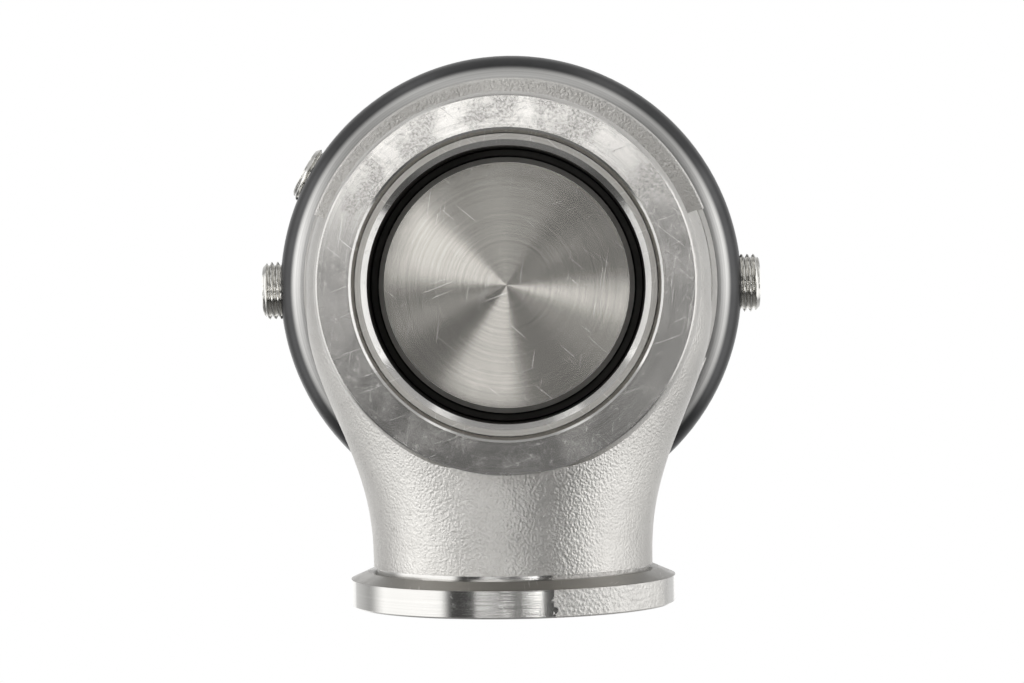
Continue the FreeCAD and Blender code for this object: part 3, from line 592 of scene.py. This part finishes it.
def threaded_plug(name, node, angle, standout):
    """Port plug with a helical thread and a hexagon socket, from the port's spotface outwards."""
    start = PORT_BOSS_R - SPOTFACE_DEPTH + SPOTFACE_GAP
    length = PORT_BOSS_R + standout - start
    steps = int(length / THREAD_PITCH * PLUG_STEPS_PER_TURN)
    mesh = bpy.data.meshes.new(name)
    shape = bmesh.new()

    def loop(radius_at, height):
        verts = []
        for i in range(PLUG_STEPS_ROUND):
            turn = i / PLUG_STEPS_ROUND
            radius = radius_at(turn)
            x = radius * math.cos(2 * math.pi * turn)
            y = radius * math.sin(2 * math.pi * turn)
            verts.append(shape.verts.new((x, y, height)))
        return verts

    loops = []
    for step in range(steps + 1):
        along = length * step / steps
        loops.append(loop(lambda turn: thread_radius(turn, along, length), along))
    socket_r = SOCKET_AF / 2
    loops.append(loop(lambda turn: socket_r * 1.25, length))
    loops.append(loop(lambda turn: hexagon_radius(turn, SOCKET_AF), length - SOCKET_LEAD_IN))
    loops.append(loop(lambda turn: hexagon_radius(turn, SOCKET_AF), length - SOCKET_DEPTH))
    loops.append(loop(lambda turn: socket_r * 0.5, length - SOCKET_DEPTH - SOCKET_DRILL_POINT))
    for inner, outer in zip(loops, loops[1:]):
        for i in range(PLUG_STEPS_ROUND):
            j = (i + 1) % PLUG_STEPS_ROUND
            shape.faces.new((inner[i], inner[j], outer[j], outer[i]))
    shape.faces.new(loops[-1])
    shape.faces.new(list(reversed(loops[0])))
    bmesh.ops.recalc_face_normals(shape, faces=shape.faces)
    shape.to_mesh(mesh)
    shape.free()
    low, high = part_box(node)
    port_z = (low[2] + high[2]) / 2
    place = Matrix.Rotation(math.radians(angle), 4, "Z") @ Matrix.Translation((start, 0, port_z))
    mesh.transform(place @ Matrix.Rotation(math.radians(90), 4, "Y"))
    mesh.materials.append(PLUG_NICKEL)
    mesh.shade_smooth()
    plug = bpy.data.objects.new(name, mesh)
    bpy.context.scene.collection.objects.link(plug)
    mesh.set_sharp_from_angle(angle=math.radians(38))
    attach(plug, "housing")
    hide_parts(node)


# ---------------------------------------------------------------- springs

def working_spring(name, node):
    """Copy of a spring's CAD mesh as an object of its own, in place of the hidden CAD piece."""
    spring = bpy.data.objects.new(name, NODES[node].data.copy())
    bpy.context.scene.collection.objects.link(spring)
    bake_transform(spring)
    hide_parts(node)


# ---------------------------------------------------------------- studio

def softbox(tree, right, up, turn, near, far, flare, edge):
    """Mask of a bright panel in the reflections, whose sides run out from the valve's axis.

    right and up are the reflection's parts along those two ways, seen from below. turn is the
    panel's place round the axis in degrees, with 0 at the right and 90 at the top. near and far are
    sines of its tilt from the axis, flare is its half width at a sine of 1, and edge its softness.
    """
    angle = math.radians(turn)
    along = maths(tree, "ADD", maths(tree, "MULTIPLY", right, math.cos(angle)),
                  maths(tree, "MULTIPLY", up, math.sin(angle)))
    across = maths(tree, "SUBTRACT", maths(tree, "MULTIPLY", up, math.cos(angle)),
                   maths(tree, "MULTIPLY", right, math.sin(angle)))
    across = maths(tree, "ABSOLUTE", across)
    inside = maths(tree, "MULTIPLY", remap(tree, along, near - edge, near + edge),
                   remap(tree, along, far - edge, far + edge, 1.0, 0.0))
    past_side = maths(tree, "SUBTRACT", across, maths(tree, "MULTIPLY", along, flare))
    return maths(tree, "MULTIPLY", inside, remap(tree, past_side, -edge, edge, 1.0, 0.0))


def make_world():
    """Pale studio: white to the camera, even grey light, and panels that only reflections show."""
    world = bpy.data.worlds.new("studio")
    bpy.context.scene.world = world
    world.use_nodes = True
    tree = world.node_tree
    tree.nodes.clear()
    path = add(tree, "ShaderNodeLightPath")
    direction = add(tree, "ShaderNodeTexCoord").outputs["Generated"]
    split = add(tree, "ShaderNodeSeparateXYZ", {"Vector": direction})
    right = maths(tree, "MULTIPLY", split.outputs["X"], -1.0)
    up = split.outputs["Y"]
    below = maths(tree, "MULTIPLY", split.outputs["Z"], -1.0)
    total = remap(tree, below, -1.0, -0.05, 0.75, 0.12)
    total = maths(tree, "SUBTRACT", total, remap(tree, below, 0.2, 0.7, 0.0, 0.06))
    total = maths(tree, "ADD", total, remap(tree, below, 0.80, 0.98, 0.0, 0.10))
    panels = (
        # turn, near, far, flare, soft edge, level
        (180, 0.74, 1.20, 0.62, 0.05, 1.20),
        (0, 0.79, 1.20, 0.62, 0.04, 1.25),
        (90, 0.50, 0.90, 0.60, 0.05, 0.80),
        (90, 0.90, 1.20, 0.60, 0.06, 0.38),
        (270, 0.80, 1.20, 0.90, 0.08, 0.12),
        (132, 0.82, 1.20, 0.40, 0.06, 0.50),
        (48, 0.82, 1.20, 0.40, 0.06, 0.50),
        (156, 0.14, 0.56, 0.36, 0.02, 1.70),
        (122, 0.14, 0.50, 0.55, 0.05, 0.60),
        (254, 0.18, 0.62, 0.36, 0.02, 2.20),
        (352, 0.11, 0.36, 0.14, 0.012, 3.40),
        (335, 0.035, 0.09, 0.70, 0.015, 0.25),
        (198, 0.16, 0.46, 0.12, 0.02, 1.00),
        (97, 0.043, 0.09, 2.50, 0.010, 2.10),
    )
    for turn, near, far, flare, edge, level in panels:
        mask = softbox(tree, right, up, turn, near, far, flare, edge)
        mask = maths(tree, "MULTIPLY", mask, remap(tree, below, -0.55, -0.20))
        total = maths(tree, "ADD", total, maths(tree, "MULTIPLY", mask, level))
    shiny = maths(tree, "MAXIMUM", path.outputs["Is Glossy Ray"], path.outputs["Is Transmission Ray"])
    walls = add(tree, "ShaderNodeCombineColor", {"Red": total, "Green": total, "Blue": total}).outputs[0]
    seen = blend_colours(tree, shiny, (0.62, 0.62, 0.62, 1), walls)
    seen = blend_colours(tree, path.outputs["Is Camera Ray"], seen, (1, 1, 1, 1))
    background = add(tree, "ShaderNodeBackground", {"Color": seen, "Strength": 1.0})
    output = add(tree, "ShaderNodeOutputWorld")
    tree.links.new(background.outputs[0], output.inputs["Surface"])


def make_floor():
    """Pale floor under the inlet flange. It is clear from below and leaves reflections alone."""
    mesh = bpy.data.meshes.new("studio_floor")
    shape = bmesh.new()
    bmesh.ops.create_circle(shape, cap_ends=True, segments=64, radius=FLOOR_R)
    shape.to_mesh(mesh)
    shape.free()
    floor = bpy.data.objects.new("studio_floor", mesh)
    bpy.context.scene.collection.objects.link(floor)
    floor.location.z = -FLOOR_DROP
    material = bpy.data.materials.new("pale_floor")
    material.use_nodes = True
    tree = material.node_tree
    tree.nodes.clear()
    side = add(tree, "ShaderNodeNewGeometry").outputs["Backfacing"]
    pale = add(tree, "ShaderNodeBsdfDiffuse", {"Color": (0.86, 0.86, 0.86, 1)})
    clear = add(tree, "ShaderNodeBsdfTransparent")
    mixed = add(tree, "ShaderNodeMixShader", {0: side, 1: pale.outputs[0], 2: clear.outputs[0]})
    output = add(tree, "ShaderNodeOutputMaterial")
    tree.links.new(mixed.outputs[0], output.inputs["Surface"])
    mesh.materials.append(material)
    floor.visible_shadow = False
    floor.visible_glossy = False
    floor.visible_diffuse = False
    floor.visible_transmission = False


def add_lamp(name, place, width, height, power):
    """Soft rectangular lamp that points at the middle of the part's lower end."""
    lamp = bpy.data.lights.new(name, "AREA")
    lamp.shape = "RECTANGLE"
    lamp.size = width
    lamp.size_y = height
    lamp.energy = power
    holder = bpy.data.objects.new(name, lamp)
    holder.location = place
    towards = Vector(LAMP_TARGET) - Vector(place)
    holder.rotation_euler = towards.to_track_quat("-Z", "Y").to_euler()
    holder.visible_camera = False
    bpy.context.scene.collection.objects.link(holder)


def make_camera():
    """Long lens below the part, looking up almost along the valve's axis."""
    place = Vector((-5.9 * MM, -2.1 * MM, -444.5 * MM))
    roll = math.radians(0.94)
    axis_seen = Vector((0.0113, 0.0146, -1.0)).normalized()  # +Z of the part, in camera terms
    across = Vector((math.cos(roll), math.sin(roll), 0.0))
    across = (across - axis_seen * across.dot(axis_seen)).normalized()
    part_x = -across
    part_y = axis_seen.cross(part_x)
    to_camera = Matrix((part_x, part_y, axis_seen)).transposed()
    data = bpy.data.cameras.new("camera")
    data.lens = 104.2
    data.sensor_width = 36.0
    data.clip_start = 0.01
    data.clip_end = 20.0
    camera = bpy.data.objects.new("camera", data)
    bpy.context.scene.collection.objects.link(camera)
    camera.matrix_world = Matrix.Translation(place) @ to_camera.transposed().to_4x4()
    bpy.context.scene.camera = camera


paint_pieces()
threaded_plug("left_port_plug", "coolant_plug_left", 0, SIDE_PLUG_STANDOUT)
threaded_plug("right_port_plug", "coolant_plug_right", 180, SIDE_PLUG_STANDOUT)
threaded_plug("boost_port_plug", "boost_plug", 30, BOOST_PLUG_STANDOUT)
working_spring("outer_coil", "outer_spring")
working_spring("middle_coil", "middle_spring")
working_spring("inner_coil", "inner_spring")
make_world()
make_floor()
add_lamp("lamp_left", (0.60, 0.10, -0.25), 0.3, 0.4, 0.35)
add_lamp("lamp_right", (-0.60, 0.10, -0.25), 0.3, 0.4, 0.30)
add_lamp("lamp_overhead", (0.1, -0.2, 0.9), 0.8, 0.8, 0.9)
make_camera()

bpy.context.scene.view_settings.view_transform = "Standard"
